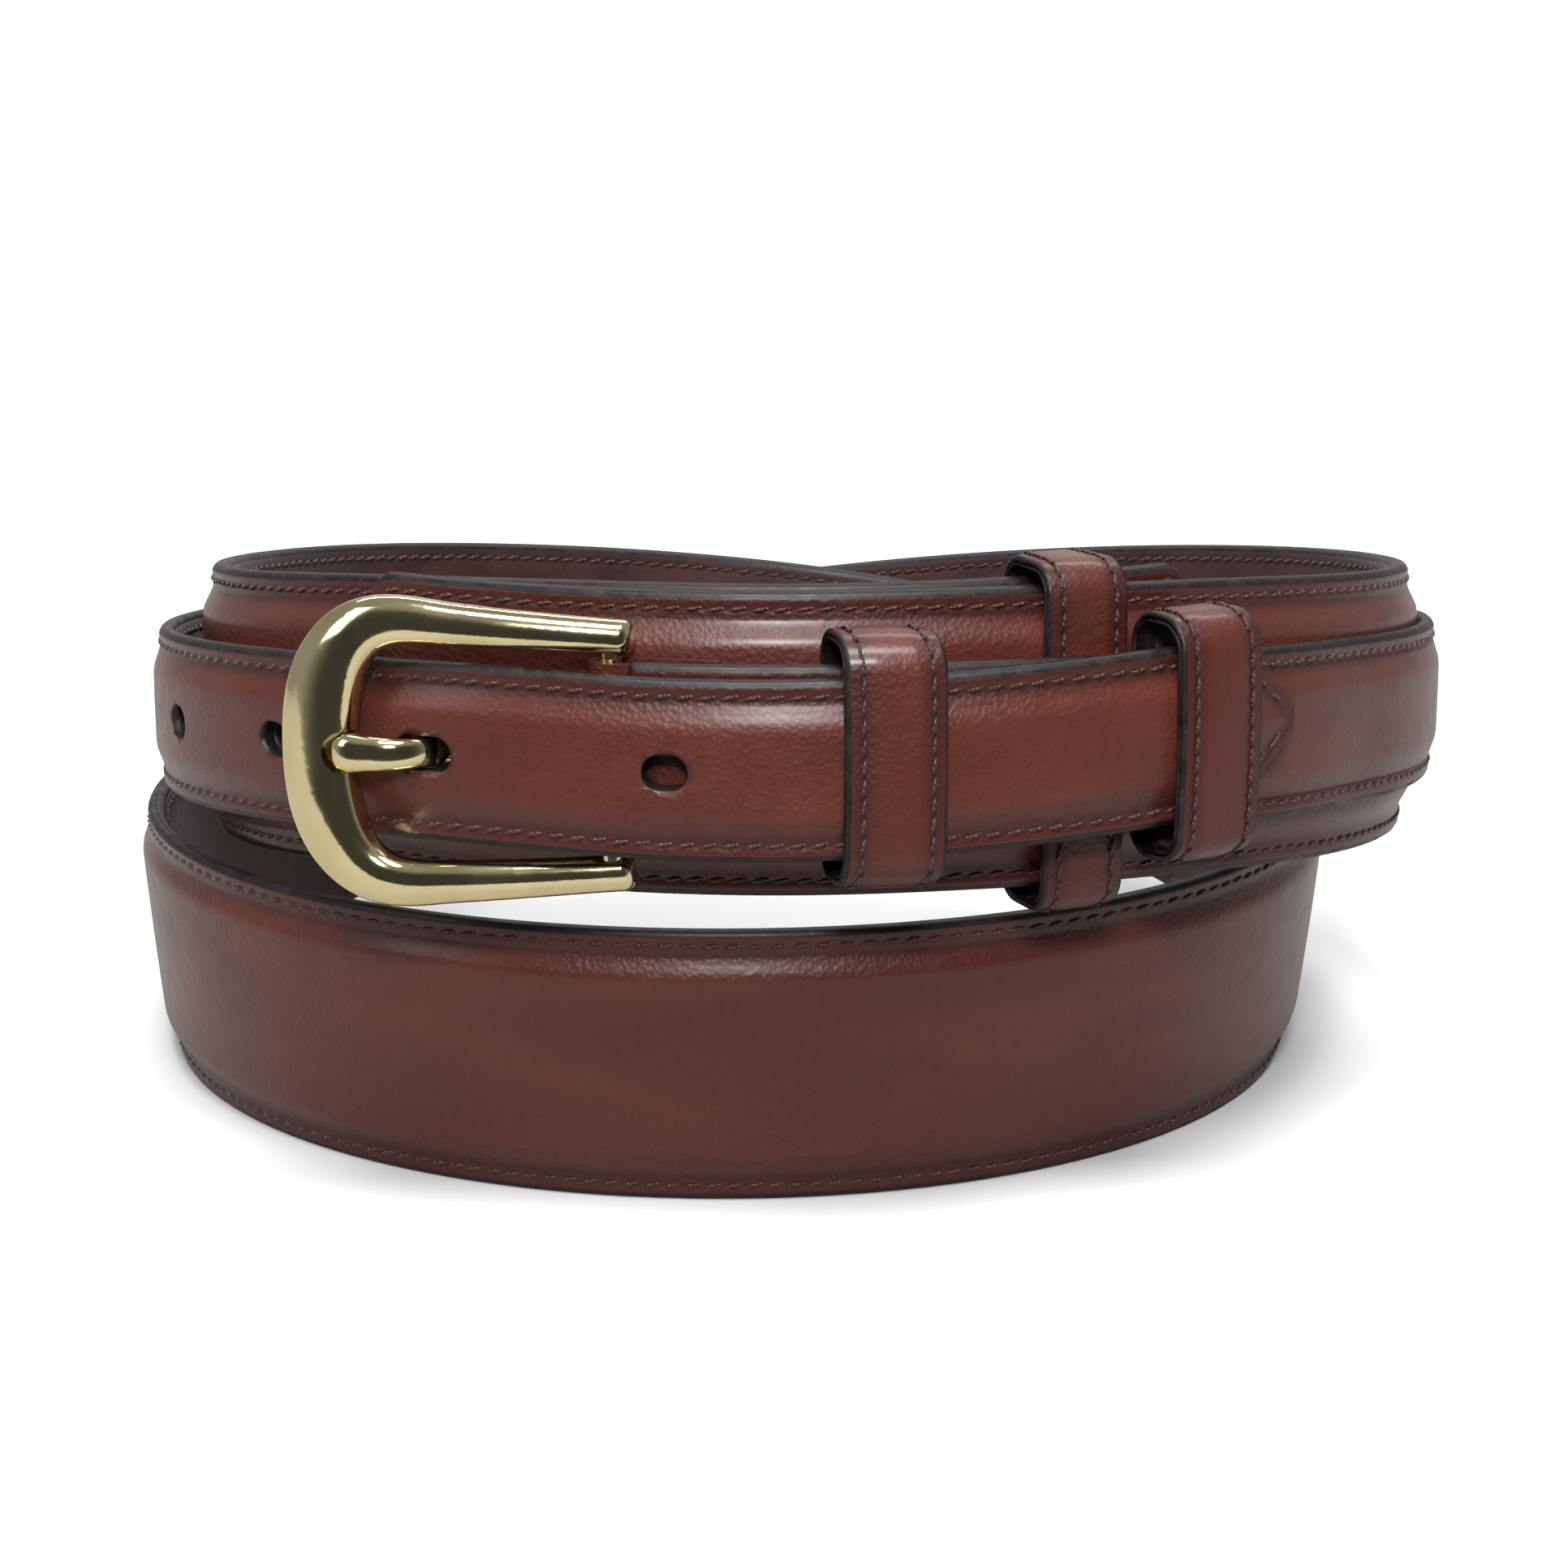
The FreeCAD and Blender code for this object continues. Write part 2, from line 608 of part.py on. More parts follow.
def loop(label, kind, near, far, sweep):
    """A ring of leather: the shape between two depths (sums of terms) under the keeper's skin, swept about
    the front's own axis so that it can travel round the strap."""
    prefix = "Sheet.wide_keeper" if kind == "wide" else "Sheet.keeper"
    body = doc.addObject("PartDesign::Body", label)
    body.Label = label
    sketch = body.newObject("Sketcher::SketchObject", label + "_outline")
    sketch.AttachmentSupport = [(origin_plane(body, "XZ_Plane"), "")]
    sketch.MapMode = "FlatFace"
    for depth in (near, far):
        more = "".join(" + " + term for term in depth)
        less = "".join(" - " + term for term in depth)
        rounded_outline(sketch, prefix + "_inner" + more, prefix + "_outer" + less,
                        prefix + "_low" + more, prefix + "_high" + less, "Sheet.keeper_corner" + less)
    doc.recompute()
    ring = body.newObject("PartDesign::Revolution", label + "_ring")
    ring.Profile = sketch
    ring.ReferenceAxis = (sketch, ["V_Axis"])
    ring.Midplane = True
    ring.setExpression("Angle", "Sheet.%s" % sweep)
    body.Placement = keeper_place(kind)


lining_near = ["Sheet.keeper_ply", "0.03"]
lining_far = ["Sheet.keeper_ply", "Sheet.keeper_lining"]
for kind in ("front", "wide", "rear"):
    sweep = "wide_keeper_sweep" if kind == "wide" else "keeper_sweep"
    loop(kind + "_keeper", kind, [], ["Sheet.keeper_ply"], sweep)
    loop(kind + "_keeper_lining", kind, lining_near, lining_far, sweep)
doc.recompute()


def outline_wire(prefix, offset):
    """The keeper's rounded outline in its own plane, `offset` outside the skin."""
    x0 = size(prefix + "_inner") - offset
    x1 = size(prefix + "_outer") + offset
    z0 = size(prefix + "_low") - offset
    z1 = size(prefix + "_high") + offset
    r = size("keeper_corner") + offset
    slab = Part.makeBox(x1 - x0, 1.0, z1 - z0, Vector(x0, 0, z0))
    rims = [edge for edge in slab.Edges if abs(edge.tangentAt(edge.FirstParameter).y) > 0.9]
    rounded = slab.makeFillet(r, rims)
    side = [f for f in rounded.Faces if abs(f.normalAt(0, 0).y) > 0.9 and abs(f.CenterOfMass.y) < 0.01]
    return side[0].OuterWire


def thread_ring(kind):
    """Two rows of thread right round a keeper, one near each edge."""
    prefix = "wide_keeper" if kind == "wide" else "keeper"
    sweep = size("keeper_thread_sweep")
    outer = Part.Face(outline_wire(prefix, 0.17))
    inner = Part.Face(outline_wire(prefix, 0.03))
    rings = []
    for turn in (-size("keeper_row_angle"), size("keeper_row_angle")):
        ring = outer.cut(inner).revolve(Vector(0, 0, 0), Vector(0, 0, 1), sweep)
        turned = FreeCAD.Rotation(Vector(0, 0, 1), turn - sweep / 2)
        ring.Placement = FreeCAD.Placement(Vector(0, 0, 0), turned)
        rings.append(ring)
    return Part.Compound(rings)


for kind in ("front", "wide", "rear"):
    rows = publish(kind + "_keeper_thread", thread_ring(kind))
    rows.Placement = keeper_place(kind)
doc.recompute()

# ---------------------------------------------------------------- check and write
kinds = ("PartDesign::Body", "Part::Feature")
nodes = [item for item in doc.Objects if item.TypeId in kinds]
for item in doc.Objects:
    if "Invalid" in item.State or "Error" in item.State:
        raise RuntimeError("%s is in error" % item.Label)
for node in nodes:
    if node.Shape.isNull() or not node.Shape.isValid():
        raise RuntimeError("%s has no valid shape" % node.Label)
for node in nodes:
    node.Shape.exportStep("parts/%s.step" % node.Label)
    print("%-24s %9.1f mm3 %d solids" % (node.Label, node.Shape.Volume, len(node.Shape.Solids)))
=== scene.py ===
import bpy
import random
from math import sin, cos, radians, pi, sqrt, ceil
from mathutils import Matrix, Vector


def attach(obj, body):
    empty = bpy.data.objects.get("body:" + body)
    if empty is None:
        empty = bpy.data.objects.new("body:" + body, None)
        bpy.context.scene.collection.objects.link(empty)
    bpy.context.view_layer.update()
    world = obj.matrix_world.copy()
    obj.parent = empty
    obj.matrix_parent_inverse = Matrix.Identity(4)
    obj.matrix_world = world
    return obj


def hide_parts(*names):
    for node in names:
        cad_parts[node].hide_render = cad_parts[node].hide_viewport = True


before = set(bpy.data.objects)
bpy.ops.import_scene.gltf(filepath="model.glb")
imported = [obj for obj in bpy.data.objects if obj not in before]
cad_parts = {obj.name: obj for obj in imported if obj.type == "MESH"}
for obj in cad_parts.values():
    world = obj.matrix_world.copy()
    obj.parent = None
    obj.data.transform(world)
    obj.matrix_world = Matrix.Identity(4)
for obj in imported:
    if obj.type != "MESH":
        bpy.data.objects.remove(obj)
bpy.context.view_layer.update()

MM = 0.001
random.seed(7)

# ------------------------------------------------------------------ the coil's path, in mm
FRONT = (-0.89, 5.47, 83.0)
LOWER = (-7.39, 11.47, 75.5)
BACK = (3.6, 2.47, 76.2)
LAYER_GAP = 4.6
STRAP_WIDTH = 35.0
BILLET_HALF = 10.3
WIDE_START, WIDE_END = -34.0, 757.0
BUCKLE_BILLET_START, BUCKLE_BILLET_END = -10.4, 95.0
TONGUE_START, TONGUE_END = -125.0, 40.2
BUCKLE_BILLET_RADIUS = 89.1
TONGUE_RADIUS = 92.4
SEWN_ON = 3.6           # a billet's middle above the middle of the strap it is sewn to
POINT = 11.0            # length of a billet's pointed end
CORNER = -3.0           # a negative end length stands for a corner radius


def smooth(value, start, end):
    """0 before start, 1 after end, and an even S between them."""
    u = min(1.0, max(0.0, (value - start) / (end - start)))
    return u * u * (3.0 - 2.0 * u)


def ramp(value, start, end, warp, soft=0.12):
    """A straight slope from 0 to 1 that is only rounded where it begins and ends."""
    u = min(1.0, max(0.0, (value - start) / (end - start))) ** warp
    if u < soft:
        return u * u / (2.0 * soft * (1.0 - soft))
    if u > 1.0 - soft:
        return 1.0 - (1.0 - u) ** 2 / (2.0 * soft * (1.0 - soft))
    return (u - soft / 2.0) / (1.0 - soft)


def on_circle(centre, radius, angle):
    """Point at an angle counted from the front, counter-clockwise seen from above."""
    a = radians(angle)
    return Vector((centre[0] + radius * sin(a), centre[1] - radius * cos(a), 0.0))


def wide_point(angle):
    """Plan of the wide strap, from its inner end through the low turn and back up to the front."""
    lower = on_circle(LOWER, LOWER[2], angle)
    if angle < 360.0:
        return on_circle(FRONT, FRONT[2], angle).lerp(lower, smooth(angle, 60.0, 300.0))
    behind = lower.lerp(on_circle(BACK, BACK[2], angle), smooth(angle, 430.0, 580.0))
    return behind.lerp(on_circle(FRONT, FRONT[2] - LAYER_GAP, angle), smooth(angle, 610.0, 690.0))


def wide_height(angle):
    """Height of the wide strap's lower edge."""
    falling = 1.0 - ramp(angle, 5.0, 268.0, 1.15)
    rising = ramp(angle, 425.0, 712.0, 0.9)
    return max(0.0, 41.15 * (falling + rising) - 0.15)


def wide_lean(angle):
    """How far the upper edge leans out, where the strap climbs over the low turn."""
    return 6.0 * smooth(angle, 230.0, 330.0) * (1.0 - smooth(angle, 400.0, 500.0))


def outward(path, angle):
    """Level direction away from the coil, square to the path."""
    along = path(angle + 0.5) - path(angle - 0.5)
    return Vector((along.y, -along.x, 0.0)).normalized()


def wide_station(angle, a, b):
    """Point of the wide strap: a outward from its middle ply, b up from its lower edge."""
    lean = wide_lean(angle) * b / STRAP_WIDTH
    place = wide_point(angle) + outward(wide_point, angle) * (a + lean)
    return place + Vector((0, 0, wide_height(angle) + b))


def middle_height(angle):
    return wide_height(angle) + STRAP_WIDTH / 2.0


def buckle_billet_point(angle):
    sewn = wide_point(angle) + outward(wide_point, angle) * SEWN_ON
    return on_circle(FRONT, BUCKLE_BILLET_RADIUS, angle).lerp(sewn, smooth(angle, 37.0, 56.0))


def buckle_billet_station(angle, a, b):
    height = middle_height(angle) + 0.1 * (1.0 - smooth(angle, 0.0, 60.0))
    return buckle_billet_point(angle) + outward(buckle_billet_point, angle) * a + Vector((0, 0, height + b))


def tongue_point(angle):
    inner = angle + 720.0
    sewn = wide_point(inner) + outward(wide_point, inner) * SEWN_ON
    return sewn.lerp(on_circle(FRONT, TONGUE_RADIUS, angle), smooth(angle, -100.0, -14.0))


def tongue_station(angle, a, b):
    height = middle_height(angle + 720.0) - 0.9 * smooth(angle, -24.0, -6.0) + 1.8 * smooth(angle, -2.0, 40.0)
    return tongue_point(angle) + outward(tongue_point, angle) * a + Vector((0, 0, height + b))


# ------------------------------------------------------------------ shader helpers
class Shader:
    """A node material built step by step; every method returns a socket."""

    def __init__(self, name):
        self.material = bpy.data.materials.new(name)
        self.material.use_nodes = True
        self.tree = self.material.node_tree
        self.skin = self.tree.nodes["Principled BSDF"]

    def node(self, kind, **fields):
        made = self.tree.nodes.new(kind)
        for key, value in fields.items():
            setattr(made, key, value)
        return made

    def feed(self, socket, value):
        if isinstance(value, bpy.types.NodeSocket):
            self.tree.links.new(value, socket)
        else:
            socket.default_value = value

    def attribute(self, name):
        return self.node("ShaderNodeAttribute", attribute_name=name).outputs["Fac"]

    def place(self, scale):
        coords = self.node("ShaderNodeTexCoord")
        stretch = self.node("ShaderNodeMapping")
        self.feed(stretch.inputs["Vector"], coords.outputs["Object"])
        self.feed(stretch.inputs["Scale"], scale)
        return stretch.outputs["Vector"]

    def strip_place(self, along_scale=1.0, across_scale=1.0):
        """Coordinates that run along and across a strap, in mm."""
        joined = self.node("ShaderNodeCombineXYZ")
        self.feed(joined.inputs[0], self.maths("MULTIPLY", self.attribute("along"), along_scale))
        self.feed(joined.inputs[1], self.maths("MULTIPLY", self.attribute("across"), across_scale))
        self.feed(joined.inputs[2], self.maths("MULTIPLY", self.attribute("side"), 40.0))
        return joined.outputs[0]

    def noise(self, vector, scale, detail=4.0, rough=0.55, distortion=0.0):
        made = self.node("ShaderNodeTexNoise")
        self.feed(made.inputs["Vector"], vector)
        self.feed(made.inputs["Scale"], scale)
        self.feed(made.inputs["Detail"], detail)
        self.feed(made.inputs["Roughness"], rough)
        self.feed(made.inputs["Distortion"], distortion)
        return made.outputs["Fac"]

    def cells(self, vector, scale, feature="F1"):
        made = self.node("ShaderNodeTexVoronoi", feature=feature)
        self.feed(made.inputs["Vector"], vector)
        self.feed(made.inputs["Scale"], scale)
        return made.outputs["Distance"]

    def maths(self, operation, first, second=0.0, third=0.0, clamp=False):
        made = self.node("ShaderNodeMath", operation=operation, use_clamp=clamp)
        for socket, value in zip(made.inputs, (first, second, third)):
            self.feed(socket, value)
        return made.outputs[0]

    def span(self, value, start, end, low=0.0, high=1.0, eased=True):
        made = self.node("ShaderNodeMapRange", interpolation_type="SMOOTHSTEP" if eased else "LINEAR")
        for key, number in (("Value", value), ("From Min", start), ("From Max", end),
                            ("To Min", low), ("To Max", high)):
            self.feed(made.inputs[key], number)
        return made.outputs["Result"]

    def blend(self, share, first, second, mode="MIX"):
        made = self.node("ShaderNodeMix", data_type="RGBA", blend_type=mode)
        self.feed(made.inputs[0], share)
        self.feed(made.inputs[6], first)
        self.feed(made.inputs[7], second)
        return made.outputs[2]

    def bump(self, height, strength, distance, under=None):
        made = self.node("ShaderNodeBump")
        self.feed(made.inputs["Height"], height)
        self.feed(made.inputs["Strength"], strength)
        self.feed(made.inputs["Distance"], distance)
        if under is not None:
            self.feed(made.inputs["Normal"], under)
        return made.outputs["Normal"]

    def finish(self, **inputs):
        for key, value in inputs.items():
            self.feed(self.skin.inputs[key.replace("_", " ")], value)
        return self.material


def rgb(r, g, b):
    """Colour from 0-255 screen values."""
    return tuple(((c / 255.0 + 0.055) / 1.055) ** 2.4 if c > 10 else c / 3295.0 for c in (r, g, b)) + (1.0,)


# ------------------------------------------------------------------ materials
def face_leather():
    """Burnished aniline calf: darker towards the edges and warmer over the raised middle, with painted shade
    along the crease beside the stitch line.
    """
    s = Shader("face_leather")
    strip = s.strip_place(1.0, 1.0)
    grain_place = s.place((1000.0, 1000.0, 1000.0))
    clouds = s.noise(s.strip_place(0.35, 1.0), 0.06, 3.0, 0.55, 0.5)
    streaks = s.noise(s.strip_place(1.4, 0.22), 0.5, 4.0, 0.6, 0.2)
    fine = s.noise(grain_place, 0.9, 4.0, 0.6)
    middle = s.attribute("middle")
    # darker towards the edges and over the flat margins; warmer clouds only over the raised middle
    margin_tone = s.blend(s.span(middle, 0.0, 0.9), rgb(65, 28, 24), rgb(78, 34, 29))
    middle_mottle = s.maths("MULTIPLY", s.span(clouds, 0.40, 0.72), s.span(middle, 0.1, 1.0))
    warm = s.blend(middle_mottle, margin_tone, rgb(91, 43, 34))
    warm = s.blend(s.maths("MULTIPLY", s.span(streaks, 0.45, 0.8), 0.16), warm, rgb(56, 25, 23))
    speck = s.blend(s.maths("MULTIPLY", s.span(fine, 0.45, 0.75), 0.16), warm, rgb(44, 20, 18))
    scar = s.cells(s.strip_place(0.22, 0.8), 0.11, "DISTANCE_TO_EDGE")
    scar_mask = s.maths("MULTIPLY", s.span(scar, 0.008, 0.0), s.span(clouds, 0.54, 0.66))
    speck = s.blend(s.maths("MULTIPLY", scar_mask, 0.16), speck, rgb(120, 66, 48))
    # painted shade: the crease beside the stitch line is darkened towards near-black brown
    colour = s.blend(s.maths("MULTIPLY", s.attribute("crease_shade"), 0.45), speck, rgb(34, 15, 14))
    pores = s.cells(grain_place, 1.6)
    wrinkles = s.noise(strip, 0.9, 5.0, 0.62, 0.4)
    normal = s.bump(pores, 0.42, 0.0002)
    normal = s.bump(wrinkles, 0.24, 0.00025, normal)
    rough = s.span(s.noise(strip, 0.30, 4.0, 0.6), 0.3, 0.7, 0.38, 0.47)
    return s.finish(Base_Color=colour, Roughness=rough, Normal=normal, Coat_Weight=0.5,
                    Coat_Roughness=0.25, Coat_IOR=1.4, IOR=1.33)


def lining_leather():
    """Matt dark brown lining with a close fibrous nap."""
    s = Shader("lining_leather")
    place = s.place((1000.0, 1000.0, 1000.0))
    clouds = s.noise(s.strip_place(0.5, 1.0), 0.11, 4.0, 0.6, 0.5)
    fine = s.noise(place, 1.4, 5.0, 0.65)
    colour = s.blend(s.span(clouds, 0.35, 0.7), rgb(44, 23, 20), rgb(62, 33, 27))
    colour = s.blend(s.maths("MULTIPLY", s.span(fine, 0.42, 0.72), 0.35), colour, rgb(32, 17, 16))
    normal = s.bump(s.cells(place, 2.2), 0.25, 0.00012)
    normal = s.bump(fine, 0.22, 0.0002, normal)
    return s.finish(Base_Color=colour, Roughness=s.span(clouds, 0.3, 0.7, 0.52, 0.68), Normal=normal,
                    Sheen_Weight=0.12, Sheen_Roughness=0.4)


def edge_paint():
    """Black-brown edge ink, built up a little unevenly and rubbed grey at the high spots."""
    s = Shader("edge_paint")
    place = s.place((1000.0, 1000.0, 1000.0))
    flow = s.noise(place, 0.35, 4.0, 0.6, 0.5)
    fine = s.noise(place, 2.4, 3.0, 0.6)
    colour = s.blend(s.span(flow, 0.35, 0.7), rgb(20, 15, 16), rgb(38, 29, 29))
    colour = s.blend(s.maths("MULTIPLY", s.span(fine, 0.5, 0.75), 0.4), colour, rgb(60, 51, 50))
    normal = s.bump(flow, 0.35, 0.0003)
    normal = s.bump(fine, 0.2, 0.00008, normal)
    return s.finish(Base_Color=colour, Roughness=s.span(flow, 0.3, 0.7, 0.38, 0.6), Normal=normal,
                    Coat_Weight=0.1, Coat_Roughness=0.3, IOR=1.33)


def waxed_thread():
    """Reddish brown three-strand thread; the lay of the strands shows as fine slanted ribs, with painted
    shade between the strands and painted highlight flecks on the fuzz.
    """
    s = Shader("waxed_thread")
    place = s.place((1000.0, 1000.0, 1000.0))
    shade = s.noise(place, 0.6, 3.0, 0.6)
    fuzz_and_highlight = s.noise(place, 9.0, 3.0, 0.7)
    ribs = s.maths("SINE", s.attribute("lay"))
    colour = s.blend(s.span(shade, 0.3, 0.7), rgb(46, 19, 20), rgb(74, 32, 31))
    # painted shade: darkens the grooves between the strands
    colour = s.blend(s.span(ribs, -1.0, -0.1, 0.55, 0.0), colour, rgb(24, 9, 10))
    # painted highlight: light flecks where the fuzz catches the light
    colour = s.blend(s.maths("MULTIPLY", s.span(fuzz_and_highlight, 0.5, 0.8), 0.20), colour, rgb(122, 72, 68))
    normal = s.bump(ribs, 0.6, 0.00008)
    normal = s.bump(fuzz_and_highlight, 0.3, 0.00005, normal)
    return s.finish(Base_Color=colour, Roughness=0.45, Normal=normal, Sheen_Weight=0.15, Sheen_Roughness=0.4)


def polished_brass(name, tint_low, tint_high):
    """Plated brass, buffed bright, with faint polishing haze and tiny pits."""
    s = Shader(name)
    place = s.place((1000.0, 1000.0, 1000.0))
    haze = s.noise(place, 0.12, 3.0, 0.6)
    fine = s.noise(place, 6.0, 2.0, 0.5)
    pits = s.span(s.cells(place, 0.55), 0.07, 0.02)
    colour = s.blend(s.span(haze, 0.3, 0.7), tint_low, tint_high)
    colour = s.blend(s.maths("MULTIPLY", pits, 0.35), colour, rgb(120, 104, 56))
    rough = s.maths("ADD", s.span(haze, 0.3, 0.7, 0.08, 0.12), s.span(fine, 0.5, 0.8, 0.0, 0.03))
    normal = s.bump(haze, 0.05, 0.0004)
    normal = s.bump(pits, 0.10, 0.00004, normal)
    return s.finish(Base_Color=colour, Metallic=1.0, Roughness=rough, Normal=normal)


FACE = face_leather()
LINING = lining_leather()
EDGE = edge_paint()
THREAD = waxed_thread()
BRASS = polished_brass("polished_brass", rgb(216, 204, 156), rgb(230, 218, 174))


# ------------------------------------------------------------------ mesh helpers
def make_object(name, points, faces, materials, face_slots=None, smooth_shading=True, attributes=None):
    mesh = bpy.data.meshes.new(name)
    mesh.from_pydata([p * MM for p in points], [], faces)
    for material in materials:
        mesh.materials.append(material)
    if face_slots:
        mesh.polygons.foreach_set("material_index", face_slots)
    mesh.polygons.foreach_set("use_smooth", [smooth_shading] * len(mesh.polygons))
    for key, values in (attributes or {}).items():
        layer = mesh.attributes.new(key, "FLOAT", "POINT")
        layer.data.foreach_set("value", values)
    mesh.validate()
    mesh.update()
    made = bpy.data.objects.new(name, mesh)
    bpy.context.scene.collection.objects.link(made)
    return made


def arc_lengths(station, angles):
    lengths = [0.0]
    for before, after in zip(angles, angles[1:]):
        lengths.append(lengths[-1] + (station(after, 0, 0) - station(before, 0, 0)).length)
    return lengths


class Strip:
    """Shape of one strap: its path, span, width and the height of its raised middle."""

    def __init__(self, station, start, end, half, centre, edge_a, crown_a, back_a, mid_a, margin, points):
        self.station = station
        self.start = start
        self.end = end
        self.half = half
        self.centre = centre
        self.edge_a = edge_a
        self.crown_a = crown_a
        self.back_a = back_a
        self.mid_a = mid_a
        self.margin = margin
        self.points = points
        count = int((end - start) / 0.9) + 1
        self.angles = [start + (end - start) * i / count for i in range(count + 1)]
        self.lengths = arc_lengths(station, self.angles)
        self.total = self.lengths[-1]

    def angle_at(self, length):
        """Angle whose distance from the start is `length`, by bisection in the table of distances."""
        lo, hi = 0, len(self.lengths) - 1
        while hi - lo > 1:
            mid = (lo + hi) // 2
            if self.lengths[mid] <= length:
                lo = mid
            else:
                hi = mid
        step = (length - self.lengths[lo]) / max(1e-6, self.lengths[hi] - self.lengths[lo])
        return self.angles[lo] + (self.angles[hi] - self.angles[lo]) * step

    def half_at(self, length):
        """Half width, drawn in to a blunt point or to rounded corners at the two ends."""
        width = self.half
        for distance, pointed in ((length, self.points[0]), (self.total - length, self.points[1])):
            if pointed is None:
                continue
            if pointed > 0:
                nose = sqrt(max(0.0, min(1.0, distance / 1.3))) * 1.5
                width = min(width, nose + max(0.0, distance) * (self.half - 1.2) / pointed)
            elif distance < -pointed:
                r = -pointed
                width = min(width, self.half - r + sqrt(max(0.0, r * r - (r - distance) ** 2)))
        return max(0.15, width)

    def stations(self):
        """Distances of the mesh's cross-sections, closer together at the ends."""
        fine = [0.0, 0.12, 0.3, 0.6, 1.0]
        body = []
        step = 1.25
        count = int(ceil((self.total - 2.0) / step))
        for i in range(1, count):
            body.append(1.0 + (self.total - 2.0) * i / count)
        return fine + body + [self.total - d for d in reversed(fine)]

    def face_height(self, from_edge, half):
        """Outer surface over the distance from the nearest edge."""
        k = min(1.0, half / self.half)
        rise = (self.crown_a - self.edge_a) * k
        swell = smooth(from_edge, self.margin - 0.5, self.margin + 2.9)
        dome = 1.0 - (1.0 - min(1.0, from_edge / half)) ** 2.2
        seam = max(0.0, 1.0 - abs(from_edge - 2.0) / 0.7)
        crease = max(0.0, 1.0 - abs(from_edge - self.margin + 0.4) / 0.6)
        return self.edge_a + rise * (0.80 * swell + 0.20 * dome) - 0.16 * seam - 0.10 * crease


PITCH = 2.45


def cross_section(strip, half, outer):
    """Half of a strap's outline, from its lower to its upper edge: (a, b, from_edge, zone)."""
    rounding = [(0.0, 0.0), (0.10, 0.42), (0.38, 0.78), (0.85, 1.0)]
    thickness = (strip.edge_a - strip.mid_a) if outer else (strip.mid_a - strip.back_a)
    sign = 1.0 if outer else -1.0
    rim = [(strip.mid_a + sign * thickness * up, inward, inward, "edge") for inward, up in rounding[:3]]
    distances = [0.85, 1.15, 1.45, 1.7, 2.0, 2.3, 2.6]
    distances += [strip.margin + step for step in (-0.4, 0.0, 0.5, 1.0, 1.6, 2.2, 2.9, 3.6, 4.4)]
    reach = strip.half
    last = strip.margin + 4.4
    inner = [last + (reach - last) * f for f in (0.35, 0.7)]
    flat = []
    for d in distances + inner:
        scaled = d * min(1.0, half / strip.half)
        if outer:
            flat.append((strip.face_height(scaled, half), scaled, scaled, "flat"))
        else:
            dip = 0.08 * max(0.0, 1.0 - abs(scaled - 2.0) / 0.6)
            flat.append((strip.back_a + dip, scaled, scaled, "flat"))
    side = rim + flat
    lower = [(a, -half + b * min(1.0, half / 1.2), d, zone) for a, b, d, zone in side]
    centre_a = strip.face_height(half, half) if outer else strip.back_a
    upper = [(a, -b, d, zone) for a, b, d, zone in reversed(lower)]
    return lower + [(centre_a, 0.0, half, "flat")] + upper


def strip_mesh(name, strip, outer, skin):
    """One ply of a strap, with its painted edge, as a closed mesh."""
    points, faces, slots = [], [], []
    attributes = {"along": [], "across": [], "middle": [], "crease_shade": [], "side": []}
    places = strip.stations()
    ring_size = 0
    for length in places:
        angle = strip.angle_at(length)
        half = strip.half_at(length)
        end_gap = min(length, strip.total - length)
        ring = cross_section(strip, half, outer)
        pull = 1.0
        if end_gap < 0.6:
            pull = sqrt(max(0.0, 1.0 - (1.0 - end_gap / 0.6) ** 2))
        ring_size = len(ring)
        for a, b, from_edge, zone in ring:
            depth = strip.mid_a + (a - strip.mid_a) * (0.35 + 0.65 * pull)
            points.append(strip.station(angle, depth, strip.centre + b))
            near = min(from_edge, end_gap)
            attributes["along"].append(length)
            attributes["across"].append(b)
            attributes["middle"].append(smooth(near, 1.2, strip.margin + 2.5))
            # mask of the painted shade along the crease beside the stitch line
            attributes["crease_shade"].append(max(0.0, 1.0 - abs(near - strip.margin + 0.4) / 0.8))
            attributes["side"].append(1.0 if outer else -1.0)
    for i in range(len(places) - 1):
        for j in range(ring_size):
            k = (j + 1) % ring_size
            quad = (i * ring_size + j, i * ring_size + k, (i + 1) * ring_size + k, (i + 1) * ring_size + j)
            faces.append(quad if not outer else tuple(reversed(quad)))
            near_edge = j < 3 or j >= ring_size - 4
            slots.append(1 if near_edge and j != ring_size - 1 else 0)
    for first in (0, (len(places) - 1) * ring_size):
        cap = tuple(range(first, first + ring_size))
        faces.append(cap if (first == 0) == outer else tuple(reversed(cap)))
        slots.append(1)
    return make_object(name, points, faces, [skin, EDGE], slots, True, attributes)


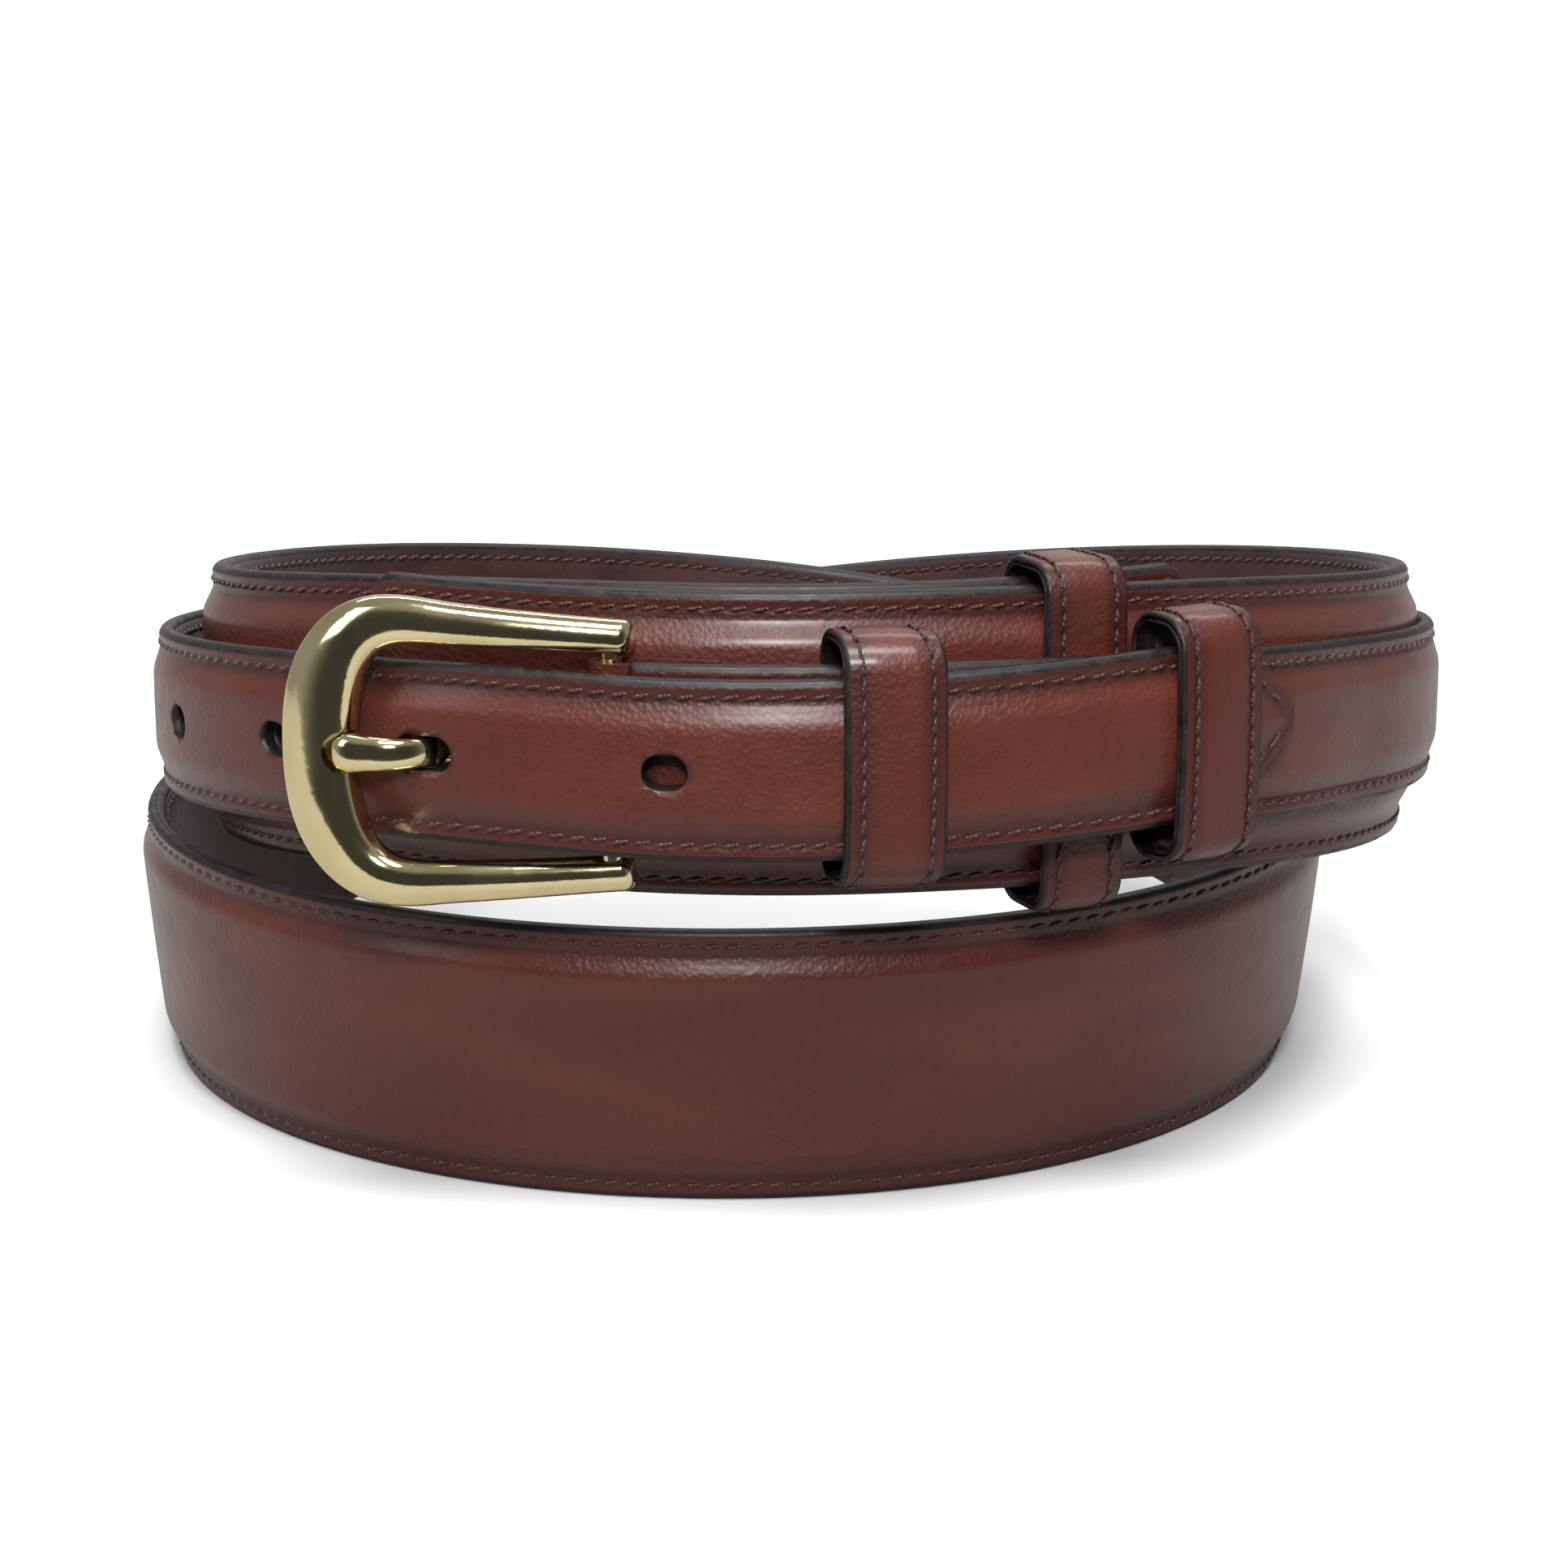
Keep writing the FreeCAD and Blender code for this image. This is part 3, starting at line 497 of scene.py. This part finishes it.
# ------------------------------------------------------------------ stitches
class Thread:
    """Collects many small stitches into one mesh."""

    def __init__(self):
        self.points = []
        self.faces = []
        self.lay = []

    def stitch(self, start, end, out, radius=0.27, rise=0.26):
        """One plump stitch from hole to hole, sinking into the leather at both ends."""
        along = (end - start)
        length = along.length
        along = along / length
        side = out.cross(along).normalized()
        rings, around = 7, 7
        first = len(self.points)
        for i in range(rings):
            u = i / (rings - 1)
            swell = sin(pi * (0.10 + 0.80 * u)) ** 0.6
            lift = rise * (sin(pi * u) ** 0.7) - 0.16
            centre = start + along * (length * u) + out * lift
            for k in range(around):
                turn = 2.0 * pi * k / around
                sideways = side * (radius * swell * cos(turn))
                upward = out * (radius * 0.85 * swell * sin(turn))
                self.points.append(centre + sideways + upward)
                self.lay.append(u * length * 9.0 + turn)
        for i in range(rings - 1):
            for k in range(around):
                m = (k + 1) % around
                self.faces.append((first + i * around + k, first + i * around + m,
                                   first + (i + 1) * around + m, first + (i + 1) * around + k))
        self.faces.append(tuple(reversed(range(first, first + around))))
        last = first + (rings - 1) * around
        self.faces.append(tuple(range(last, last + around)))

    def build(self, name):
        return make_object(name, self.points, self.faces, [THREAD], None, True, {"lay": self.lay})


class HoleShades:
    """Collects the dark cones, painted shade standing in for the awl holes at the ends of the stitches."""

    def __init__(self):
        self.points = []
        self.faces = []

    # painted shade: a dark cone sunk 0.3 mm where the hole's shadow would be
    def hole(self, centre, along, out, radius=0.30):
        side = out.cross(along).normalized()
        first = len(self.points)
        rim = 8
        for k in range(rim):
            turn = 2.0 * pi * k / rim
            round_rim = along * (radius * 1.15 * cos(turn)) + side * (radius * 0.8 * sin(turn))
            self.points.append(centre + round_rim + out * 0.035)
        self.points.append(centre - out * 0.3)
        for k in range(rim):
            self.faces.append((first + k, first + (k + 1) % rim, first + rim))


# painted shade: near-black colour for the cones that stand in for the shadowed awl holes
def painted_hole_shade():
    s = Shader("awl_hole_shade")
    place = s.place((1000.0, 1000.0, 1000.0))
    colour = s.blend(s.noise(place, 2.0), rgb(8, 4, 4), rgb(26, 11, 10))
    return s.finish(Base_Color=colour, Roughness=0.8, Normal=s.bump(s.noise(place, 4.0), 0.3, 0.0001))


HOLE_SHADE = painted_hole_shade()


def sew(thread, pricks, strip, begin, finish, row_b, outer, slant=0.22, pitch=PITCH):
    """A row of lockstitches along a strip, at the height row_b(length) from its middle."""
    count = max(1, int(round((finish - begin) / pitch)))
    step = (finish - begin) / count
    sign = 1.0 if outer else -1.0

    def surface(length, lean):
        angle = strip.angle_at(length)
        b = row_b(length) + lean
        half = strip.half_at(length)
        from_edge = half - abs(b)
        a = strip.face_height(max(0.3, from_edge), half) if outer else strip.back_a
        return strip.station(angle, a, strip.centre + b)

    for i in range(count):
        here = begin + i * step
        angle = strip.angle_at(here + step / 2)
        out = strip.station(angle, 1, strip.centre) - strip.station(angle, 0, strip.centre)
        out = out.normalized() * sign
        wobble = random.uniform(-0.05, 0.05)
        start = surface(here + 0.22, -slant * sign + wobble)
        end = surface(here + step - 0.10, slant * sign + wobble)
        thread.stitch(start, end, out, random.uniform(0.24, 0.29), random.uniform(0.20, 0.30))
        hole = surface(here, 0.0)
        along = (end - start).normalized()
        pricks.hole(hole, along, out, random.uniform(0.34, 0.44))


def straight_row(offset):
    return lambda length: offset


def pointed_row(strip, inset, sign):
    """Stays `inset` in from the edge and follows it in to a point."""
    return lambda length: sign * max(0.0, strip.half_at(length) - inset)


# ------------------------------------------------------------------ straps
WIDE = Strip(wide_station, WIDE_START, WIDE_END, STRAP_WIDTH / 2.0, STRAP_WIDTH / 2.0,
             0.6, 2.1, -1.7, -0.45, 3.4, (CORNER, CORNER))
BUCKLE_BILLET = Strip(buckle_billet_station, BUCKLE_BILLET_START, BUCKLE_BILLET_END, BILLET_HALF, 0.0,
                      0.6, 1.5, -1.4, -0.35, 3.0, (None, POINT))
TONGUE = Strip(tongue_station, TONGUE_START, TONGUE_END, BILLET_HALF, 0.0,
               0.6, 1.55, -1.4, -0.35, 3.0, (POINT, POINT))


def assign(piece, body, slot_name, *nodes):
    """Says which body a piece rides on and which plain solids it replaces; its slot name is not used."""
    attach(piece, body)
    if nodes:
        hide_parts(*nodes)


def finish_sewing(label, body, node, thread, pricks):
    """Stitches, and the painted shade of the awl holes, as one piece each."""
    assign(thread.build(label + "_stitches"), body, "thread", node)
    # the painted shade of the awl holes, as its own piece
    holes = make_object(label + "_awl_holes", pricks.points, pricks.faces, [HOLE_SHADE])
    assign(holes, body, "thread")


def sew_strip(label, strip, rows):
    """All of one strap's rows of stitches, on its face and on its lining."""
    thread, pricks = Thread(), HoleShades()
    for outer in (True, False):
        for begin, finish, row in rows:
            sew(thread, pricks, strip, begin, finish, row, outer)
    finish_sewing(label, "strap", label + "_thread", thread, pricks)


def strap_plies(label, node, strip):
    """Face leather, which also covers the filler, and lining leather of one strap."""
    face = strip_mesh(label + "_leather", strip, True, FACE)
    assign(face, "strap", "face_leather", node + "_face", node + "_filler")
    lining = strip_mesh(node + "_lining_leather", strip, False, LINING)
    assign(lining, "strap", "lining_leather", node + "_lining")
    return face, lining


strap_plies("wide_face", "wide", WIDE)
sew_strip("wide", WIDE, [(2.0, WIDE.total - 2.0, straight_row(height)) for height in (-15.5, 15.5)])

strap_plies("buckle_billet", "buckle_billet", BUCKLE_BILLET)
sew_strip("buckle_billet", BUCKLE_BILLET,
          [(3.5, BUCKLE_BILLET.total - 2.6, pointed_row(BUCKLE_BILLET, 2.0, sign)) for sign in (-1, 1)])

tongue_face, tongue_lining = strap_plies("tongue_billet", "tongue_billet", TONGUE)
sew_strip("tongue_billet", TONGUE,
          [(2.6, TONGUE.total - 2.6, pointed_row(TONGUE, 2.0, sign)) for sign in (-1, 1)])


# ------------------------------------------------------------------ punched holes
def punch(angle, length, height):
    """Oval cutter standing through the tongue at one of its holes."""
    base = tongue_station(angle, 0, 0)
    out = (tongue_station(angle, 1, 0) - base).normalized()
    up = Vector((0, 0, 1))
    along = up.cross(out).normalized()
    around = 40
    points, faces = [], []
    straight = (length - height) / 2.0
    for depth in (-4.0, 4.0):
        for k in range(around):
            turn = 2.0 * pi * k / around
            shift = straight if cos(turn) > 0 else -straight
            sideways = along * (shift + height / 2.0 * cos(turn))
            points.append(base + out * depth + sideways + up * (height / 2.0 * sin(turn)))
    for k in range(around):
        m = (k + 1) % around
        faces.append((k, m, around + m, around + k))
    faces.append(tuple(reversed(range(around))))
    faces.append(tuple(range(around, 2 * around)))
    return make_object("punch", points, faces, [EDGE])


def cut_with(target, cutters):
    """Cuts the holes and keeps the result as the mesh itself."""
    for cutter in cutters:
        cut = target.modifiers.new("hole", "BOOLEAN")
        cut.operation = "DIFFERENCE"
        cut.solver = "EXACT"
        cut.material_mode = "TRANSFER"
        cut.object = cutter
    view = bpy.context.evaluated_depsgraph_get()
    finished = bpy.data.meshes.new_from_object(target.evaluated_get(view))
    target.modifiers.clear()
    target.data = finished


FIRST_HOLE = 8.3
HOLE_STEP = 15.8
PRONG_HOLE = -25.0
HOLE_HEIGHT = 4.1
punches = [punch(FIRST_HOLE - HOLE_STEP * i, 5.2, HOLE_HEIGHT) for i in (0, 1, 3, 4)]
punches.append(punch(PRONG_HOLE, 7.6, HOLE_HEIGHT))
for ply in (tongue_face, tongue_lining):
    cut_with(ply, punches)
for tool in punches:
    bpy.data.objects.remove(tool)


# ------------------------------------------------------------------ the billet's fold round the bar
BAR_ANGLE = -12.0
BAR_CIRCLE = 88.2
bar_centre = on_circle(FRONT, BAR_CIRCLE, BAR_ANGLE)
bar_out = (on_circle(FRONT, BAR_CIRCLE + 1.0, BAR_ANGLE) - bar_centre).normalized()
bar_right = Vector((0, 0, 1)).cross(bar_out)
FOLD_HEIGHT = middle_height(BAR_ANGLE + 720.0) + 0.1
FOLD_OUTER, FOLD_INNER = 2.5, 1.42


def fold_outline(tail_length, face_length):
    """Plan of the folded leather: face side, half turn round the bar, tail side."""
    sides = []
    for radius in (FOLD_OUTER, FOLD_INNER):
        side = [(face_length, radius), (0.0, radius)]
        for i in range(1, 12):
            turn = pi / 2 + pi * i / 12
            side.append((radius * cos(turn), radius * sin(turn)))
        sides.append(side + [(0.0, -radius), (tail_length, -radius)])
    return sides[0] + sides[1][::-1]


def fold_piece(points, faces, bottom, top, tail_length, face_length):
    """The fold between two heights; the prong's slot is the gap left between two of these."""
    outline = fold_outline(tail_length, face_length)
    count = len(outline)
    levels = [bottom + (top - bottom) * i / 6 for i in range(7)]
    first = len(points)
    for level in levels:
        for right, out in outline:
            plan = bar_centre + bar_right * right + bar_out * out
            points.append(plan + Vector((0, 0, FOLD_HEIGHT + level)))
    for i in range(6):
        for k in range(count):
            m = (k + 1) % count
            faces.append((first + i * count + k, first + i * count + m,
                          first + (i + 1) * count + m, first + (i + 1) * count + k))
    half = count // 2
    for level in (0, 6):
        base = first + level * count
        for k in range(half - 1):
            quad = (base + k, base + k + 1, base + count - 2 - k, base + count - 1 - k)
            faces.append(quad if level else tuple(reversed(quad)))


fold_points, fold_faces = [], []
fold_piece(fold_points, fold_faces, -BILLET_HALF, -3.4, 12.0, 2.6)
fold_piece(fold_points, fold_faces, 2.2, BILLET_HALF, 12.0, 2.6)
along = [p.dot(bar_right) for p in fold_points]
across = [p.z - FOLD_HEIGHT for p in fold_points]
fold = make_object("buckle_billet_fold", fold_points, fold_faces, [FACE], None, False,
                   {"along": along, "across": across, "middle": [0.3] * len(along),
                    "crease_shade": [0.0] * len(along), "side": [1.0] * len(along)})
assign(fold, "strap", "face_leather")


# ------------------------------------------------------------------ keepers
class Loop:
    """A leather keeper: a rounded outline in (radius, height), swept along the strap's front."""

    def __init__(self, kind, near, far, low_z, high_z, corner, centre_angle, width, skew, swell):
        self.kind = kind
        self.near = near
        self.far = far
        self.low_z = low_z
        self.high_z = high_z
        self.corner = corner
        self.centre_angle = centre_angle
        self.width = width
        self.skew = skew
        self.swell = swell
        self.outline = self.trace()

    def trace(self):
        """(radius, height, normal radius, normal height, distance round) every half millimetre or so."""
        r = self.corner
        corners = [(self.far - r, self.low_z + r, -90.0), (self.far - r, self.high_z - r, 0.0),
                   (self.near + r, self.high_z - r, 90.0), (self.near + r, self.low_z + r, 180.0)]
        raw = []
        for i, (x, z, turn) in enumerate(corners):
            for k in range(9):
                a = radians(turn + 90.0 * k / 8)
                raw.append((x + r * cos(a), z + r * sin(a), cos(a), sin(a)))
            nx, nz, nturn = corners[(i + 1) % 4]
            a = radians(nturn)
            start, end = raw[-1], (nx + r * cos(a), nz + r * sin(a), cos(a), sin(a))
            gap = sqrt((end[0] - start[0]) ** 2 + (end[1] - start[1]) ** 2)
            count = max(2, int(gap / 0.9))
            for k in range(1, count):
                u = k / count
                raw.append(tuple(start[j] + (end[j] - start[j]) * u for j in range(4)))
        traced, walked = [], 0.0
        for i, point in enumerate(raw):
            if i:
                walked += sqrt((point[0] - raw[i - 1][0]) ** 2 + (point[1] - raw[i - 1][1]) ** 2)
            traced.append(point + (walked,))
        self.total = walked + sqrt((raw[0][0] - raw[-1][0]) ** 2 + (raw[0][1] - raw[-1][1]) ** 2)
        return traced

    def puff(self, rho, z):
        """The front face swells a little between its corners."""
        share = smooth(rho, self.far - 2.0, self.far - 0.3)
        middle = (self.low_z + self.high_z) / 2.0
        half = (self.high_z - self.low_z) / 2.0
        return self.swell * share * max(0.0, 1.0 - ((z - middle) / half) ** 2)

    def at(self, point, across, depth):
        """Point of the loop beside an outline point, at a depth under the skin."""
        rho, z, n_rho, n_z = point[0], point[1], point[2], point[3]
        swell = self.puff(rho, z)
        rho = rho - n_rho * depth + swell
        z = z - n_z * depth
        lean = self.skew * (rho - (self.near + self.far) / 2.0) / (self.far - self.near)
        angle = self.centre_angle + (across + lean) / self.far * 180.0 / pi
        return on_circle(FRONT, rho, angle) + Vector((0, 0, z))

    def outward_at(self, point):
        rho_way = on_circle((0, 0), 1.0, self.centre_angle)
        return (rho_way * point[2] + Vector((0, 0, point[3]))).normalized()

    def ply(self, name, top, bottom, skin):
        """One ply, between two depths under the skin, with rounded painted edges."""
        half = self.width / 2.0
        thick = bottom - top
        across = [-half, -half + 0.15, -half + 0.45]
        across += [-half + 0.45 + (self.width - 0.9) * i / 10 for i in range(1, 10)]
        across += [half - 0.45, half - 0.15, half]
        section = []
        for v in across:
            near = half - abs(v)
            soften = 0.32 * (1.0 - sqrt(max(0.0, 1.0 - (1.0 - min(1.0, near / 0.45)) ** 2)))
            seam = 0.12 * max(0.0, 1.0 - abs(near - 1.75) / 0.6)
            sunk = 0.22 * (1.0 - smooth(near, 1.4, 3.2))
            section.append((v, top + soften + seam + sunk, near))
        back = [(v, bottom - 0.02, half - abs(v)) for v in (half, half / 2, 0.0, -half / 2, -half)]
        section += back
        points, faces, slots = [], [], []
        attributes = {"along": [], "across": [], "middle": [], "crease_shade": [], "side": []}
        count = len(section)
        for point in self.outline:
            for v, depth, near in section:
                points.append(self.at(point, v, depth))
                attributes["along"].append(point[4] + 17.0 * len(self.kind))
                attributes["across"].append(v)
                attributes["middle"].append(0.75 * smooth(near, 1.2, 4.0))
                # mask of the painted shade along the keeper's sunk stitch line
                attributes["crease_shade"].append(max(0.0, 1.0 - abs(near - 1.75) / 0.9) * 0.8)
                attributes["side"].append(2.0)
        turns = len(self.outline)
        for i in range(turns):
            n = (i + 1) % turns
            for j in range(count):
                k = (j + 1) % count
                faces.append((i * count + j, i * count + k, n * count + k, n * count + j))
                rim = j in (0, 1, 12, 13, 14, 18) or j == count - 1
                slots.append(1 if rim else 0)
        return make_object(name, points, faces, [skin, EDGE], slots, True, attributes)

    def sew(self):
        """Two rows of stitches round the loop, one near each edge."""
        thread, pricks = Thread(), HoleShades()
        row = self.width / 2.0 - 1.75
        pitch = 2.2
        count = int(self.total / pitch)
        for v in (-row, row):
            for i in range(count):
                here = self.outline_at(self.total * i / count + 0.12)
                there = self.outline_at(self.total * (i + 1) / count - 0.12)
                slant = 0.16
                start = self.at(here, v - slant, 0.04)
                end = self.at(there, v + slant, 0.04)
                out = self.outward_at(here)
                thread.stitch(start, end, out, random.uniform(0.20, 0.25), random.uniform(0.18, 0.26))
                along = (end - start).normalized()
                pricks.hole(self.at(here, v, 0.06), along, out, random.uniform(0.24, 0.36))
        return thread, pricks

    def outline_at(self, distance):
        """Outline point at a distance round the loop."""
        distance %= self.total
        closing = self.outline[0][:4] + (self.total,)
        for before, after in zip(self.outline, self.outline[1:] + [closing]):
            if after[4] >= distance:
                u = (distance - before[4]) / max(1e-6, after[4] - before[4])
                return tuple(before[j] + (after[j] - before[j]) * u for j in range(4)) + (distance,)
        return self.outline[-1]


# kind, inner and outer radius, bottom, top, corner radius, angle, width, skew, swell of the front
LOOPS = [
    Loop("front", 85.5, 95.55, 44.2, 73.2, 4.0, 7.2, 11.2, 2.4, 0.6),
    Loop("wide", 74.6, 86.85, 37.7, 78.7, 4.0, 23.7, 10.2, 0.5, 0.15),
    Loop("rear", 85.5, 95.55, 44.2, 73.2, 4.0, 31.4, 11.2, 0.6, 0.6),
]
for loop in LOOPS:
    body = loop.kind + "_keeper"
    assign(loop.ply(body + "_leather", 0.0, 0.82, FACE), body, "face_leather", body)
    assign(loop.ply(body + "_lining_leather", 0.80, 1.35, LINING), body, "lining_leather", body + "_lining")
    finish_sewing(body, body, body + "_thread", *loop.sew())

# ------------------------------------------------------------------ buckle metal
for label in ("buckle_frame", "buckle_bar", "prong"):
    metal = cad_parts[label]
    metal.data.materials.clear()
    metal.data.materials.append(BRASS)


# ------------------------------------------------------------------ floor, light and camera
def paper():
    """White paper to the eye that throws back only a mid-grey light, so the leather keeps its depth."""
    s = Shader("white_paper")
    place = s.place((1.0, 1.0, 1.0))
    tone = s.noise(place, 3.0, 3.0)
    bright = s.blend(s.span(tone, 0.3, 0.7), (0.74, 0.74, 0.74, 1.0), (0.77, 0.77, 0.77, 1.0))
    bounce = s.blend(s.span(tone, 0.3, 0.7), (0.34, 0.33, 0.31, 1.0), (0.37, 0.36, 0.34, 1.0))
    seen = s.node("ShaderNodeLightPath").outputs["Is Camera Ray"]
    colour = s.blend(seen, bounce, bright)
    return s.finish(Base_Color=colour, Roughness=0.9, Normal=s.bump(s.noise(place, 400.0), 0.05, 0.0002))


profile = [(-0.20, 0.0), (1.1, 0.0)]
profile += [(1.1 + 0.7 * sin(radians(10 * i)), 0.7 - 0.7 * cos(radians(10 * i))) for i in range(1, 10)]
profile += [(1.8, 2.2)]
sweep_points = [Vector((x, y, z)) / MM for x in (-0.95, 0.95) for y, z in profile]
sweep_faces = [(i, i + 1, len(profile) + i + 1, len(profile) + i) for i in range(len(profile) - 1)]
backdrop = make_object("paper_sweep", sweep_points, [tuple(reversed(f)) for f in sweep_faces], [paper()])

def studio_walls():
    """A dim room that is lighter overhead and behind the belt, and plain white where the eye meets it."""
    world = bpy.data.worlds.new("studio")
    world.use_nodes = True
    tree = world.node_tree
    background = tree.nodes["Background"]
    direction = tree.nodes.new("ShaderNodeSeparateXYZ")
    tree.links.new(tree.nodes.new("ShaderNodeTexCoord").outputs["Generated"], direction.inputs[0])

    def span(socket, start, end, low_value, high_value):
        made = tree.nodes.new("ShaderNodeMapRange")
        made.interpolation_type = "SMOOTHSTEP"
        tree.links.new(socket, made.inputs["Value"])
        made.inputs["From Min"].default_value = start
        made.inputs["From Max"].default_value = end
        made.inputs["To Min"].default_value = low_value
        made.inputs["To Max"].default_value = high_value
        return made.outputs["Result"]

    def larger(first, second):
        made = tree.nodes.new("ShaderNodeMath")
        made.operation = "MAXIMUM"
        tree.links.new(first, made.inputs[0])
        tree.links.new(second, made.inputs[1])
        return made.outputs[0]

    behind = span(direction.outputs["Y"], -0.85, -0.1, 0.0, 1.0)
    above = span(direction.outputs["Z"], 0.35, 0.8, 0.0, 1.0)
    tone = span(larger(behind, above), 0.0, 1.0, 0.05, 0.30)
    seen = tree.nodes.new("ShaderNodeLightPath").outputs["Is Camera Ray"]
    tree.links.new(larger(seen, tone), background.inputs["Strength"])
    background.inputs["Color"].default_value = (1.0, 1.0, 1.0, 1.0)
    return world


bpy.context.scene.world = studio_walls()


def softbox(name, place, target, width, height, power):
    light = bpy.data.lights.new(name, "AREA")
    light.shape = "RECTANGLE"
    light.size = width
    light.size_y = height
    light.energy = power
    made = bpy.data.objects.new(name, light)
    made.location = place
    made.rotation_euler = (Vector(target) - Vector(place)).to_track_quat("-Z", "Y").to_euler()
    bpy.context.scene.collection.objects.link(made)


softbox("key", (0.05, -0.55, 1.10), (0, 0, 0.04), 0.55, 0.30, 15.0)
softbox("flash", (0.0, -0.80, 0.50), (0, 0, 0.04), 0.16, 0.12, 6.2)
softbox("fill", (-0.85, -0.55, 0.55), (0, 0, 0.04), 0.3, 0.6, 2.0)
softbox("backdrop_light", (0, 0.8, 1.5), (0, 1.8, 0.2), 2.0, 0.5, 40.0)

camera_data = bpy.data.cameras.new("camera")
camera_data.lens = 81.19
camera_data.sensor_width = 36.0
camera = bpy.data.objects.new("camera", camera_data)
camera.location = (-0.00007, -0.46385, 0.1443)
camera.rotation_euler = (pi / 2 - 0.2295, 0.0, 0.0)
bpy.context.scene.collection.objects.link(camera)
bpy.context.scene.camera = camera
bpy.context.scene.view_settings.view_transform = "Standard"
